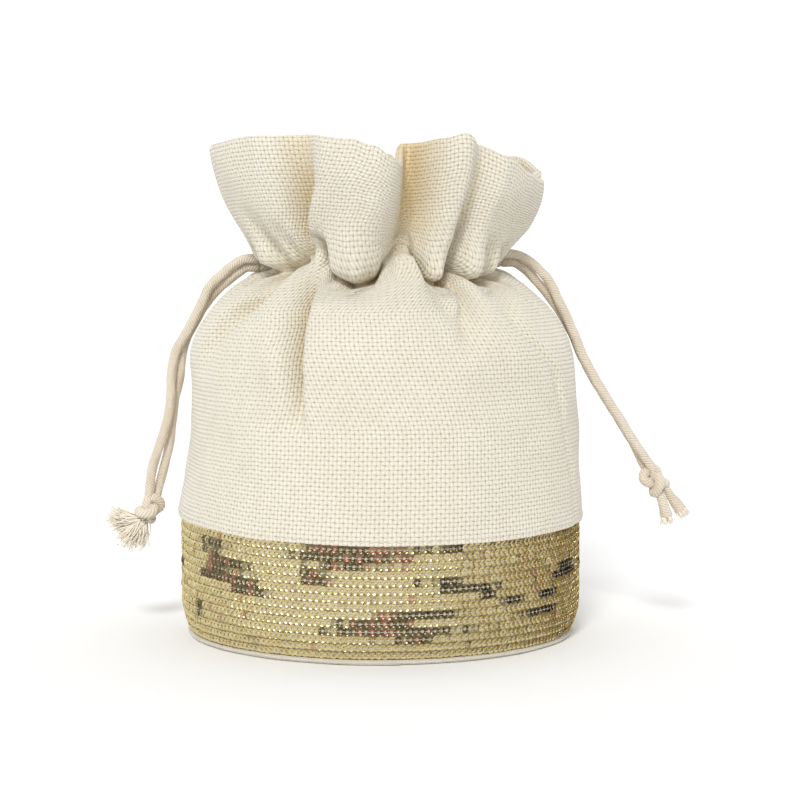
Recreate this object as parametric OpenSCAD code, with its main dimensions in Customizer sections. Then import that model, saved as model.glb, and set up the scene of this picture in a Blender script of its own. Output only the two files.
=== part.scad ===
// Drawstring gift sack: a round canvas bag on a band of sewn sequin rows,
// gathered at the neck by two cotton cords that cross inside one channel.
// The origin is the middle of the base, +Z is up and the front faces -Y.

/* [Sack] */
// Radius of the sack over its sequin band
body_r = 82.2; // [68:0.1:100]
// Height of the ruffle's rim above the base
sack_h = 202; // [188:1:245]
// Height at which the sequin band ends and the canvas begins
band_h = 46; // [38:1:56]
// How far the band draws in where it meets the base
foot_tuck = 4.5; // [2:0.1:8]
// Height of the rounded foot of the band
foot_h = 15; // [10:1:20]
// Height at which the side turns into the shoulder
shoulder_z = 107; // [95:1:118]
// How far the canvas side leans in between its hem and the shoulder
side_lean = 3.4; // [1:0.1:6]

/* [Neck] */
// Height of the middle of the gathered neck
neck_z = 152; // [146:1:158]
// Outer radius of the gathered neck
neck_r = 50; // [48:0.1:60]
// Radius of the ruffle at its rim
rim_r = 70; // [60:1:80]
// Clear radius inside the folds of the neck
throat_r = 33; // [26:1:36]
// Height of the sewn cord channel, from one stitch line to the other
channel_h = 20; // [17:1:26]

/* [Cloth] */
// Thickness of the canvas
canvas_t = 1.2; // [0.8:0.1:1.6]
// Thickness of the lining behind the sequins
lining_t = 1; // [0.6:0.1:1.4]
// Thickness of the net that the sequins are sewn on
net_t = 0.4; // [0.3:0.1:0.6]
// Thickness of a sewn row of overlapping sequins
sequin_t = 0.9; // [0.6:0.1:1.2]
// Number of sewn sequin rows
sequin_rows = 14; // [10:1:16]
// Thickness of the base panel
base_t = 1.4; // [1:0.1:2]
// Height of the tape that binds the base's edge
binding_h = 2.1; // [1.8:0.1:2.4]
// Gap left between neighbouring layers of cloth
layer_gap = 0.1; // [0.05:0.05:0.2]
// Diameter of the sewing thread
thread_d = 0.5; // [0.3:0.1:0.8]
// Width of each side seam's allowance, inside the sack
seam_w = 14; // [8:1:20]

/* [Cords] */
// Diameter of the cotton cord
cord_d = 4; // [3:0.1:4.2]
// Room around the cords in the slit that they come out of
slit_gap = 1; // [0.6:0.1:1.5]
// Gap between the swing of a tail's upper end and the cord that it hangs from
tail_gap = 0.3; // [0.2:0.1:0.5]
// Size of the knot at the end of each tail
knot_d = 12; // [10:0.5:14]

/* [Hidden] */
$fn = 96;
sequin_names = [for (i = [1:sequin_rows]) str("sequin_row_", i < 10 ? "0" : "", i)];

canvas_color = "#EBE4D2";
lining_color = "#E4DCC8";
sequin_color = "#C9B576";
cord_color = "#E8DAC4";
thread_color = "#F1EADB";

cord_r = cord_d / 2;
thread_r = thread_d / 2;
hem_r = body_r + canvas_t;
hem_lap = 5;
shoulder_r = hem_r - side_lean;
neck_half = 2;
neck_low = neck_z - neck_half;
neck_high = neck_z + neck_half;
seam_angle = 0.05;
outline_steps = 12;

// The base, its binding and the layers of the band, from the inside out.
binding_t = 0.9;
base_r = body_r - foot_tuck - 0.6;
binding_r = base_r + layer_gap / 2;
lap_angle = 13;
lap_end_angle = -85;
lap_t = 0.6;
sequin_z = binding_h + 0.3;
row_pitch = (band_h - layer_gap - sequin_z) / sequin_rows;
net_in = sequin_t + layer_gap + net_t;
lining_in = net_in + layer_gap + lining_t;
hem_stitch_z = band_h + 3;

// The facing is the canvas folded in at the rim and sewn down below the channel.
facing_hem = 3;
facing_low = neck_z - channel_h / 2 - facing_hem;
facing_top = sack_h - canvas_t;
facing_bend = neck_z + channel_h / 2;
facing_r = throat_r + canvas_t;

// Each cord runs round inside the channel, above or below the other one's slit.
run_r = (facing_r + neck_r - canvas_t) / 2;
run_rise = 6.5;
run_end_angle = 14;
left_run_z = neck_z - run_rise;
right_run_z = neck_z + run_rise;
lead_start = facing_r + 2;

// Where each pair of strands leaves the neck: the front strand's point is the hinge.
strand_drop = 3.5;
front_y = -1.4;
rear_y = 1.4;
left_hinge = [-54.8, 0, 153.5];
right_hinge = [54.8, 0, 155.4];

// Routes of the four hanging strands, from the hinge down into the knot.
left_front_route = [
    [-54.8, -1.4, 153.5], [-58, -1.4, 152.4], [-61.6, -1.5, 150], [-67.5, -1.6, 145],
    [-70.8, -1.8, 141], [-73.6, -2, 135], [-76.6, -2, 129], [-81, -1.9, 121],
    [-84.6, -1.8, 114.5], [-86.2, -1.9, 104.5], [-86.6, -2.2, 94], [-89, -2, 83],
    [-92, -1.7, 74.5], [-94.4, -1.6, 66.5], [-95.6, -1.4, 57], [-96, -1.2, 52],
];
left_rear_route = [
    [-54.8, 1.4, 150], [-57.6, 1.4, 148.6], [-60.6, 1.4, 146.4], [-64.5, 1.6, 143.2],
    [-68, 1.8, 140], [-72.4, 2.2, 134.5], [-76.4, 2.2, 128], [-80, 2.2, 121],
    [-82, 2, 114.5], [-83.2, 1.9, 104.5], [-85.2, 2, 95.5], [-86.4, 2, 86],
    [-87.6, 2.2, 77], [-89.8, 2, 67.5], [-92.6, 1.6, 57], [-94, 1.2, 52],
];
right_front_route = [
    [54.8, -1.4, 155.4], [58.5, -1.5, 154], [62, -1.6, 151.8], [65.6, -1.8, 148.5],
    [68.4, -2, 145.4], [71, -2.1, 141], [73.8, -2.1, 135], [76.8, -2.1, 129],
    [79.8, -2.1, 122], [82.4, -2.1, 115.5], [85.6, -2.1, 109], [90, -2.1, 101.4],
    [94, -2.1, 94.8], [98.5, -2.1, 88], [102.6, -2.1, 81.2], [107, -2.1, 74.6],
    [111.8, -1.9, 67.6], [113.4, -1.4, 63],
];
right_rear_route = [
    [54.8, 1.4, 151.9], [59, 1.4, 149.6], [62, 1.4, 146.8], [64.6, 1.5, 143.8],
    [67.6, 1.8, 140.5], [72.2, 2.1, 134.4], [76.4, 2.1, 128], [80, 2.1, 121],
    [82.6, 2.1, 114.5], [85.6, 2.1, 108.5], [90, 2.1, 101], [94, 2.1, 94.6],
    [98.4, 2.1, 87.8], [102.4, 2.1, 81.2], [106, 2.1, 75], [109, 1.9, 68.6],
    [111.4, 1.4, 64.2],
];
left_knot_at = [-96.3, 0, 49];
right_knot_at = [113.6, 0, 60];
left_tassel_tip = [-106, 0, 37];
right_tassel_ends = [
    [[115.2, -2.3, 55.5], [119.7, -2.2, 44.3]],
    [[117.4, 2.3, 57], [127.8, 1.8, 46.6]],
];
tassel_flare = 7.5;
stub_flare = 3;
tube_sides = 8;

// The routes are drawn for a sack of this radius. A wider sack moves the tails outwards, little
// by little over the first stretch beyond the hinge.
routes_body_r = 82.2;
hang_stretch = 24;

// Outline of the sack: distance of its outer face from the axis at a height.
function band_r(z) = z < foot_h ? body_r - foot_tuck * pow(1 - z / foot_h, 2) : body_r;
function side_r(z) = hem_r - side_lean * (z - band_h) / (shoulder_z - band_h);
function shoulder_drop(z) = pow((z - shoulder_z) / (neck_low - shoulder_z), 2.1);
function ruffle_rise(z) = 1 - pow(1 - (z - neck_high) / (sack_h - neck_high), 1.5);
function canvas_r(z) =
    z < shoulder_z ? side_r(z)
    : z < neck_low ? neck_r + (shoulder_r - neck_r) * (1 - shoulder_drop(z))
    : z < neck_high ? neck_r
    : neck_r + (rim_r - neck_r) * ruffle_rise(z);

// Outline of the facing: straight behind the channel, then open to the canvas at the rim.
facing_rim_r = canvas_r(facing_top) - canvas_t - 2 * layer_gap;
facing_points = [[facing_r, facing_low], [facing_r, facing_bend], [facing_rim_r, facing_top]];

function heights(low, high, steps = outline_steps) =
    [for (i = [0:steps]) low + (high - low) * i / steps];
canvas_heights = concat(
    [band_h, hem_stitch_z],
    [shoulder_z],
    [for (z = heights(shoulder_z, neck_low)) if (z > shoulder_z) z],
    [for (z = heights(neck_high, sack_h)) z]
);
foot_heights = concat(heights(sequin_z, foot_h, 5), [band_h - layer_gap]);

// A skin of revolution through points [radius, height], thickened inwards.
module skin(points, thickness, angle = 360, start = 0) {
    inner = [for (i = [len(points) - 1:-1:0]) [points[i][0] - thickness, points[i][1]]];
    rotate([0, 0, start])
        rotate_extrude(angle = angle)
            polygon(concat(points, inner));
}

module ring(radius, z, thickness, angle = 360, start = 0) {
    translate([0, 0, z])
        rotate([0, 0, start])
            rotate_extrude(angle = angle)
                translate([radius, 0])
                    circle(d = thickness, $fn = 16);
}

// A cone or a straight bar from one point to another.
module bar(from, to, r1, r2) {
    along = to - from;
    turn = atan2(along[1], along[0]);
    tilt = acos(along[2] / norm(along));
    translate(from)
        rotate([0, tilt, turn])
            cylinder(h = norm(along), r1 = r1, r2 = r2, $fn = 32);
}

// A point of a tail, moved out or in with the side of the sack.
function hung(p) =
    let (share = min(1, max(0, abs(p[0]) - right_hinge[0]) / hang_stretch))
    [p[0] + sign(p[0]) * share * (body_r - routes_body_r), p[1], p[2]];

// A tube along a route. Each ring of corners is square to the route there.
function direction(route, i) =
    let (ahead = route[min(i + 1, len(route) - 1)], behind = route[max(i - 1, 0)])
    (ahead - behind) / norm(ahead - behind);
function tube_corner(route, i, k) =
    let (
        along = direction(route, i),
        side = cross(along, [0, 1, 0]) / norm(cross(along, [0, 1, 0])),
        other = cross(along, side),
        turn = 360 * k / tube_sides
    )
    route[i] + cord_r * (cos(turn) * side + sin(turn) * other);
module tube(route) {
    rings = len(route);
    corners = [for (i = [0:rings - 1]) for (k = [0:tube_sides - 1]) tube_corner(route, i, k)];
    walls = [
        for (i = [0:rings - 2])
            for (k = [0:tube_sides - 1])
                let (next = (k + 1) % tube_sides, a = i * tube_sides, b = a + tube_sides)
                each [[a + k, b + k, b + next], [a + k, b + next, a + next]]
    ];
    first = [for (k = [0:tube_sides - 1]) k];
    last = [for (k = [tube_sides - 1:-1:0]) (rings - 1) * tube_sides + k];
    polyhedron(points = corners, faces = concat([first], walls, [last]), convexity = 4);
}

// Where one side's pair of cords passes through the side seam, as a slit.
module slit(hinge) {
    width = 2 * (max(-front_y, rear_y) + cord_r + slit_gap);
    height = strand_drop + cord_d + 2 * slit_gap;
    depth = 40;
    translate([hinge[0], 0, hinge[2] - strand_drop / 2])
        cube([depth, width, height], center = true);
}

module base_panel() {
    color(lining_color)
        cylinder(h = base_t, r = base_r);
}

// The tape's free end laps over its start, a little right of the front.
module base_binding() {
    color(canvas_color) {
        translate([0, 0, layer_gap])
            rotate_extrude()
                translate([binding_r, 0])
                    square([binding_t, binding_h - layer_gap]);
        rotate([0, 0, lap_end_angle - lap_angle])
            translate([0, 0, layer_gap])
                rotate_extrude(angle = lap_angle)
                    translate([binding_r + binding_t + layer_gap, 0])
                        square([lap_t, binding_h - layer_gap]);
    }
}

// The stitches on the tape, and the short run of them that crosses its lap.
module base_stitch() {
    stitch_r = binding_r + binding_t + layer_gap + thread_r;
    lap_stitch_r = stitch_r + layer_gap + lap_t;
    color(thread_color) {
        ring(stitch_r, binding_h / 2, thread_d, 360 - lap_angle - 2, lap_end_angle + 1);
        ring(lap_stitch_r, binding_h / 2, thread_d, lap_angle - 1, lap_end_angle - lap_angle + 0.5);
    }
}

module band_lining() {
    low = binding_h + layer_gap;
    levels = concat(heights(low, foot_h, 5), [band_h + hem_lap]);
    color(lining_color)
        skin([for (z = levels) [band_r(z) - lining_in + lining_t, z]], lining_t);
}

module band_net() {
    color(lining_color)
        skin([for (z = foot_heights) [band_r(z) - net_in + net_t, z]], net_t);
}

// One row of overlapping sequins, as the ring that they fill.
module sequin_row(row) {
    low = sequin_z + row * row_pitch;
    high = low + row_pitch - layer_gap;
    color(sequin_color)
        skin([for (z = [low, (low + high) / 2, high]) [band_r(z), z]], sequin_t);
}

module canvas_half(start) {
    difference() {
        skin(
            [for (z = canvas_heights) [canvas_r(z), z]],
            canvas_t,
            180 - 2 * seam_angle,
            start + seam_angle
        );
        slit(left_hinge);
        slit(right_hinge);
    }
}

module front_panel() {
    color(canvas_color)
        canvas_half(180);
}

module back_panel() {
    color(canvas_color)
        canvas_half(0);
}

module mouth_facing() {
    color(canvas_color)
        skin(facing_points, canvas_t);
}

// The edges of both panels, pressed flat against the inside along a side seam.
module seam_allowance(side_angle) {
    low = band_h + hem_lap + layer_gap;
    high = neck_low - channel_h / 2;
    half_angle = asin(seam_w / 2 / body_r);
    levels = concat([low, shoulder_z], [for (z = heights(shoulder_z, high, 5)) if (z > shoulder_z) z]);
    color(canvas_color)
        skin(
            [for (z = levels) [canvas_r(z) - canvas_t - layer_gap, z]],
            canvas_t / 2,
            2 * half_angle,
            side_angle - half_angle
        );
}

module left_seam_allowance() {
    seam_allowance(180);
}

module right_seam_allowance() {
    seam_allowance(0);
}

// A line of stitches that lies on the canvas all the way round.
module stitch_line(z) {
    color(thread_color)
        ring(canvas_r(z) + layer_gap + thread_d, z, thread_d);
}

module hem_topstitch() {
    stitch_line(hem_stitch_z);
}

module lower_channel_stitch() {
    stitch_line(neck_z - channel_h / 2);
}

module upper_channel_stitch() {
    stitch_line(neck_z + channel_h / 2);
}

// A cord inside the channel, open towards the slit that its ends come out of.
module cord_run(z, slit_angle) {
    color(cord_color)
        rotate([0, 0, slit_angle + run_end_angle])
            translate([0, 0, z])
                rotate_extrude(angle = 360 - 2 * run_end_angle)
                    translate([run_r, 0])
                        circle(r = cord_r, $fn = 32);
}

// The two short cord ends between the channel and the hinge.
module cord_lead(hinge) {
    side = sign(hinge[0]);
    outer_end = abs(hinge[0]) - cord_r - tail_gap;
    color(cord_color)
        for (end = [[front_y, hinge[2]], [rear_y, hinge[2] - strand_drop]])
            bar([side * lead_start, end[0], end[1]], [side * outer_end, end[0], end[1]], cord_r, cord_r);
}

module strand(route) {
    color(cord_color)
        tube([for (p = route) hung(p)]);
}

module knot(place) {
    color(cord_color)
        translate(hung(place))
            sphere(d = knot_d, $fn = 48);
}

module left_cord_run() {
    cord_run(left_run_z, 180);
}

module left_cord_lead() {
    cord_lead(left_hinge);
}

module left_strand_front() {
    strand(left_front_route);
}

module left_strand_rear() {
    strand(left_rear_route);
}

module left_knot() {
    knot(left_knot_at);
}

// Both ends frayed together into one tuft.
module left_tassel() {
    color(thread_color)
        bar(hung(left_knot_at), hung(left_tassel_tip), cord_r, tassel_flare);
}

module right_cord_run() {
    cord_run(right_run_z, 0);
}

module right_cord_lead() {
    cord_lead(right_hinge);
}

module right_strand_front() {
    strand(right_front_route);
}

module right_strand_rear() {
    strand(right_rear_route);
}

module right_knot() {
    knot(right_knot_at);
}

// Two cut ends side by side, a little flared.
module right_tassel() {
    color(thread_color)
        for (end = right_tassel_ends)
            bar(hung(end[0]), hung(end[1]), cord_r, stub_flare);
}

base_panel();
base_binding();
base_stitch();
band_lining();
band_net();
for (row = [0:sequin_rows - 1])
    sequin_row(row);
front_panel();
back_panel();
mouth_facing();
left_seam_allowance();
right_seam_allowance();
hem_topstitch();
lower_channel_stitch();
upper_channel_stitch();
left_cord_run();
left_cord_lead();
left_strand_front();
left_strand_rear();
left_knot();
left_tassel();
right_cord_run();
right_cord_lead();
right_strand_front();
right_strand_rear();
right_knot();
right_tassel();
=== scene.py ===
"""Drawstring gift sack: gathered canvas, a band of sewn sequins and two knotted cotton cords."""

import math

import bpy
import numpy as np
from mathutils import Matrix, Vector


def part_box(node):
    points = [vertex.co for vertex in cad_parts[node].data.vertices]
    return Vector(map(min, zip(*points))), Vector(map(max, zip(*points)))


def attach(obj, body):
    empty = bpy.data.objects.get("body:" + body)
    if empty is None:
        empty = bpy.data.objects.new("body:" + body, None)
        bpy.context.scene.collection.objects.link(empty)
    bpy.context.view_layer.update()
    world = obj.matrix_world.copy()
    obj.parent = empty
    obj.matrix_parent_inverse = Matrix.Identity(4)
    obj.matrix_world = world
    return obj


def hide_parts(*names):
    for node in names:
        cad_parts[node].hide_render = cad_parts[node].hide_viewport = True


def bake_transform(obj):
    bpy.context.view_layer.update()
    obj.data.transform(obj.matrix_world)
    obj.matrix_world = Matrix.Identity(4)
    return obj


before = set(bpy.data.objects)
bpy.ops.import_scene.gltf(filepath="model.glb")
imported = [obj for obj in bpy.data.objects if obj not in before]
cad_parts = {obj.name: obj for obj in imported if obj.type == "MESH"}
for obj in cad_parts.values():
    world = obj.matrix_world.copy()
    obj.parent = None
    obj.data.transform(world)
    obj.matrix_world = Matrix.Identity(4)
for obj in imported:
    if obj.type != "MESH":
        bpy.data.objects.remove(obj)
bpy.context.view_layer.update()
MM = 0.001
RNG_SEED = 11
FULL_TURN = 2 * math.pi
QUARTER_TURN = math.pi / 2


# ---------------------------------------------------------------- sizes from the frame

BAND_LOW, BAND_HIGH = (np.array(corner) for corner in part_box("sequin_row_08"))
BAND_R = (BAND_HIGH[0] - BAND_LOW[0]) / 2
BODY_LOW, BODY_HIGH = (np.array(corner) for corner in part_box("front_panel"))
HEM_Z = BODY_LOW[2]
RIM_Z = BODY_HIGH[2]
HEM_R = (BODY_HIGH[0] - BODY_LOW[0]) / 2
HEM_STITCH_Z = HEM_Z + 3 * MM
STITCH_LOW_Z = (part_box("lower_channel_stitch")[0][2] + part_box("lower_channel_stitch")[1][2]) / 2
STITCH_HIGH_Z = (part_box("upper_channel_stitch")[0][2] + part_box("upper_channel_stitch")[1][2]) / 2
NECK_Z = (STITCH_LOW_Z + STITCH_HIGH_Z) / 2
FACING_LOW_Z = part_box("mouth_facing")[0][2]
BASE_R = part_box("base_panel")[1][0]
BASE_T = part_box("base_panel")[1][2]
BASE_SAG = 0.12 * MM
TAPE_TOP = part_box("base_binding")[1][2]
CORD_D = 4 * MM
CORD_R = CORD_D / 2


# ---------------------------------------------------------------- mesh helpers

def new_object(name, vertices, faces):
    """A smooth-shaded mesh object in the scene."""
    mesh = bpy.data.meshes.new(name)
    mesh.from_pydata([tuple(v) for v in vertices], [], [tuple(f) for f in faces])
    mesh.update()
    mesh.polygons.foreach_set("use_smooth", [True] * len(mesh.polygons))
    piece = bpy.data.objects.new(name, mesh)
    bpy.context.scene.collection.objects.link(piece)
    return piece


def dress(piece, material, slot, body, *nodes):
    """Give a piece its material, parent it to the body it rides on, and hide the CAD nodes it stands
    for. The slot is not used."""
    piece.data.materials.append(material)
    if nodes:
        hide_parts(*nodes)
    if body:
        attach(piece, body)


def set_uv(piece, layer, flat):
    """Store flat coordinates in metres, one pair for each vertex, as a UV layer."""
    loops = np.zeros(len(piece.data.loops), int)
    piece.data.loops.foreach_get("vertex_index", loops)
    uv = flat[loops].astype(np.float32).ravel()
    piece.data.uv_layers.new(name=layer).data.foreach_set("uv", uv)


def set_attribute(piece, name, values):
    """Store one number for each vertex, for a material to read."""
    layer = piece.data.attributes.new(name, "FLOAT", "POINT")
    layer.data.foreach_set("value", values.astype(np.float32))


def band_faces(rows, columns, start=0):
    """Quads between rings of points, each ring closed on itself."""
    return [(start + i * columns + k, start + i * columns + (k + 1) % columns,
             start + (i + 1) * columns + (k + 1) % columns, start + (i + 1) * columns + k)
            for i in range(rows - 1) for k in range(columns)]


def tube_faces(rows, columns, start=0):
    """The quads of a tube and a cap at each end."""
    first = tuple(start + k for k in range(columns - 1, -1, -1))
    last = tuple(start + (rows - 1) * columns + k for k in range(columns))
    return band_faces(rows, columns, start) + [first, last]


def ring_directions(turns, first, second):
    """Directions round each point of a line, turned from its first normal to its second."""
    return (np.cos(turns)[None, :, None] * first[:, None]
            + np.sin(turns)[None, :, None] * second[:, None])


def lengths_along(line):
    """Length from the start of a line to each of its points."""
    steps = np.linalg.norm(np.diff(line, axis=0), axis=1)
    return np.concatenate([[0], np.cumsum(steps)])


def points_at(at, along, line):
    """Points of a line at the given lengths along it."""
    return np.stack([np.interp(at, along, line[:, k]) for k in range(3)], axis=1)


def around_axis(radius, turn, z):
    """Points at a radius, an angle from the front, positive to the right, and a height."""
    parts = np.broadcast_arrays(radius * np.sin(turn), -radius * np.cos(turn), z)
    return np.stack(parts, axis=-1)


def away_from_axis(path):
    """Level unit directions from the sack's axis to each point."""
    out = path * [1, 1, 0]
    return out / np.linalg.norm(out, axis=1)[:, None]


def box_middle(node):
    """Middle of a CAD node's box."""
    return np.mean([np.array(corner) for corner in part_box(node)], axis=0)


def smooth_line(points, step):
    """A Catmull-Rom line through the points, resampled to even steps."""
    p = np.array(points, float)
    padded = np.vstack([2 * p[0] - p[1], p, 2 * p[-1] - p[-2]])
    line = []
    for i in range(1, len(padded) - 2):
        a, b, c, d = padded[i - 1:i + 3]
        for t in np.linspace(0, 1, 16, endpoint=False):
            line.append(0.5 * (2 * b + (c - a) * t + (2 * a - 5 * b + 4 * c - d) * t * t
                               + (3 * b - a - 3 * c + d) * t ** 3))
    line.append(p[-1])
    line = np.array(line)
    along = lengths_along(line)
    count = max(2, int(round(along[-1] / step)) + 1)
    return points_at(np.linspace(0, along[-1], count), along, line)


# The knitted surface of a cord: depth of its ridges as a share of the radius, strands round it,
# and the length of one twist in diameters.
BRAID_DEPTH = 0.05
BRAID_STRANDS = 8
BRAID_PITCH = 3.2


def frames_along(line):
    """Tangents and two normals that turn as little as possible along a line."""
    tangents = np.gradient(line, axis=0)
    tangents /= np.linalg.norm(tangents, axis=1)[:, None]
    start = np.cross(tangents[0], [0, 1, 0.2])
    normals = [start / np.linalg.norm(start)]
    for t in tangents[1:]:
        n = normals[-1] - t * np.dot(normals[-1], t)
        normals.append(n / np.linalg.norm(n))
    normals = np.array(normals)
    return tangents, normals, np.cross(tangents, normals)


def braided_tube(name, line, radius, sides=24, flare=0, seed=0):
    """A cord with a knitted surface: ridges that cross in two directions. Ends are rounded."""
    line = np.array(line)
    tangents, normals, others = frames_along(line)
    along = lengths_along(line)
    turns = FULL_TURN * np.arange(sides) / sides
    rng = np.random.default_rng(RNG_SEED + seed)
    wander = np.interp(along, np.linspace(0, along[-1], 14), rng.normal(0, 0.03, 14))
    ease = np.minimum(1, np.minimum(along, along[-1] - along) / radius)
    taper = np.sqrt(np.clip(1 - (1 - ease) ** 2, 0.02, 1))
    phase = FULL_TURN * along / (BRAID_PITCH * 2 * radius)
    right = np.cos(BRAID_STRANDS * turns[None] / 2 + phase[:, None])
    left = np.cos(BRAID_STRANDS * turns[None] / 2 - phase[:, None])
    relief = BRAID_DEPTH * np.maximum(right, left)
    widen = 1 + flare * (along / along[-1]) ** 2
    reach = radius * (taper * widen)[:, None] * (1 + wander[:, None] + relief - BRAID_DEPTH)
    ring = ring_directions(turns, normals, others)
    points = (line[:, None] + reach[:, :, None] * ring).reshape(-1, 3)
    piece = new_object(name, points, tube_faces(len(line), sides))
    layer = piece.data.uv_layers.new(name="cord")
    loops = np.array([v for f in piece.data.polygons for v in f.vertices])
    side_u = (loops % sides) / sides
    for polygon in piece.data.polygons:
        index = list(polygon.loop_indices)
        u = side_u[index]
        if len(index) == 4 and u.max() - u.min() > 0.5:
            side_u[index] = np.where(u < 0.5, u + 1, u)
    uv = np.stack([side_u * FULL_TURN * radius, along[loops // sides]], axis=1)
    layer.data.foreach_set("uv", uv.astype(np.float32).ravel())
    return piece


# ---------------------------------------------------------------- camera, floor and light

EYE = (0.008, -0.875, 0.158)
PITCH_DOWN = math.radians(4.10)
LENS_MM = 95.6
SENSOR_MM = 36
FLOOR_HALF = 6
FLOOR_GREY = 0.95
# Brightness of the surroundings behind the camera and behind the sack.
WALL_FRONT = 0.60
WALL_BACK = 1.10
# From where to where the surroundings brighten, as the Y part of a direction.
WALL_RISE = (-0.2, 0.75)
KEY_STRENGTH = 1.75
KEY_DIRECTION = (0.15, 0.9, -0.75)
KEY_ANGLE = math.radians(14)


def add_camera():
    """The camera, a little above the sack's neck and tilted down."""
    data = bpy.data.cameras.new("camera")
    data.lens = LENS_MM
    data.sensor_width = SENSOR_MM
    camera = bpy.data.objects.new("camera", data)
    camera.location = EYE
    camera.rotation_euler = (math.radians(90) - PITCH_DOWN, 0, 0)
    bpy.context.scene.collection.objects.link(camera)
    bpy.context.scene.camera = camera


def add_floor():
    """A plain matt floor, wide enough to have no edge in view."""
    corners = [(x * FLOOR_HALF, y * FLOOR_HALF, 0) for x, y in ((-1, -1), (1, -1), (1, 1), (-1, 1))]
    floor = new_object("floor", corners, [(0, 1, 2, 3)])
    material = bpy.data.materials.new("floor_paint")
    material.use_nodes = True
    shader = material.node_tree.nodes["Principled BSDF"]
    shader.inputs["Base Color"].default_value = (FLOOR_GREY, FLOOR_GREY, FLOOR_GREY, 1)
    shader.inputs["Roughness"].default_value = 0.9
    floor.data.materials.append(material)


def add_key_light():
    """A soft, far light from the upper left."""
    data = bpy.data.lights.new("key", "SUN")
    data.energy = KEY_STRENGTH
    data.angle = KEY_ANGLE
    light = bpy.data.objects.new("key", data)
    light.rotation_euler = Vector(KEY_DIRECTION).to_track_quat("-Z", "Y").to_euler()
    bpy.context.scene.collection.objects.link(light)


def add_light():
    """A white studio all round, brighter behind the sack, and the key light."""
    world = bpy.data.worlds.new("studio")
    world.use_nodes = True
    tree = world.node_tree
    place = tree.nodes.new("ShaderNodeTexCoord")
    split = tree.nodes.new("ShaderNodeSeparateXYZ")
    tree.links.new(place.outputs["Generated"], split.inputs[0])
    toward_back = tree.nodes.new("ShaderNodeMapRange")
    toward_back.interpolation_type = "SMOOTHSTEP"
    tree.links.new(split.outputs["Y"], toward_back.inputs["Value"])
    for socket, value in zip(list(toward_back.inputs)[1:5], (*WALL_RISE, WALL_FRONT, WALL_BACK)):
        socket.default_value = value
    tree.nodes["Background"].inputs["Color"].default_value = (1, 1, 1, 1)
    tree.links.new(toward_back.outputs[0], tree.nodes["Background"].inputs["Strength"])
    bpy.context.scene.world = world
    add_key_light()


# ---------------------------------------------------------------- materials

class Value:
    """An output of a node tree. Sums and products of values add the nodes that work them out."""

    def __init__(self, nodes, socket):
        self.nodes = nodes
        self.socket = socket

    def __add__(self, other):
        return self.nodes.math("ADD", self, other)

    def __sub__(self, other):
        return self.nodes.math("SUBTRACT", self, other)

    def __rsub__(self, other):
        return self.nodes.math("SUBTRACT", other, self)

    def __mul__(self, other):
        return self.nodes.math("MULTIPLY", self, other)

    def __truediv__(self, other):
        return self.nodes.math("DIVIDE", self, other)

    def __pow__(self, other):
        return self.nodes.math("POWER", self, other)


class Nodes:
    """A short way to write a node tree: each call adds a node and gives its first output."""

    def __init__(self, name):
        self.material = bpy.data.materials.new(name)
        self.material.use_nodes = True
        self.tree = self.material.node_tree
        self.shader = self.tree.nodes["Principled BSDF"]

    def put(self, socket, value):
        """Link a value to a socket, or set a plain number or colour on it."""
        if isinstance(value, Value):
            self.tree.links.new(value.socket, socket)
        elif value is not None:
            socket.default_value = value

    def add(self, kind, *values):
        """A new node with its first inputs filled in."""
        node = self.tree.nodes.new("ShaderNode" + kind)
        for socket, value in zip(node.inputs, values):
            self.put(socket, value)
        return node

    def math(self, operation, *values):
        node = self.add("Math", *values)
        node.operation = operation
        return Value(self, node.outputs[0])

    def uv(self, layer):
        """The two parts of a UV layer."""
        node = self.add("UVMap")
        node.uv_map = layer
        split = self.add("SeparateXYZ", Value(self, node.outputs[0]))
        return Value(self, split.outputs[0]), Value(self, split.outputs[1])

    def place(self):
        """The place of a point on its piece."""
        return Value(self, self.add("TexCoord").outputs["Object"])

    def attribute(self, name):
        node = self.add("Attribute")
        node.attribute_name = name
        return Value(self, node.outputs["Fac"])

    def noise(self, vector, scale, detail=2.0):
        node = self.add("TexNoise", vector)
        node.inputs["Scale"].default_value = scale
        node.inputs["Detail"].default_value = detail
        return Value(self, node.outputs["Fac"])

    def vector(self, x, y):
        return Value(self, self.add("CombineXYZ", x, y).outputs[0])

    def fit(self, value, low, high, to_low=0.0, to_high=1.0):
        """Carry a value from one range over to another, and stop at its ends."""
        return Value(self, self.add("MapRange", value, low, high, to_low, to_high).outputs[0])

    def mix(self, factor, a, b):
        """A colour between two others."""
        node = self.add("Mix")
        node.data_type = "RGBA"
        self.put(node.inputs["Factor"], factor)
        for name, value in (("A", a), ("B", b)):
            socket = [s for s in node.inputs if s.name == name and s.type == "RGBA"][0]
            self.put(socket, value if isinstance(value, Value) else (*value, 1))
        return Value(self, [s for s in node.outputs if s.type == "RGBA"][0])

    def bump(self, height, distance, strength=1.0, normal=None):
        node = self.add("Bump")
        for name, value in (("Distance", distance), ("Strength", strength), ("Height", height),
                            ("Normal", normal)):
            self.put(node.inputs[name], value)
        return Value(self, node.outputs[0])

    def finish(self, color, roughness, normal, sheen=0.0):
        """Fill in the shader, and give the material."""
        self.put(self.shader.inputs["Base Color"], color)
        self.put(self.shader.inputs["Roughness"], roughness)
        self.put(self.shader.inputs["Normal"], normal)
        self.shader.inputs["Sheen Weight"].default_value = sheen
        return self.material


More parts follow.
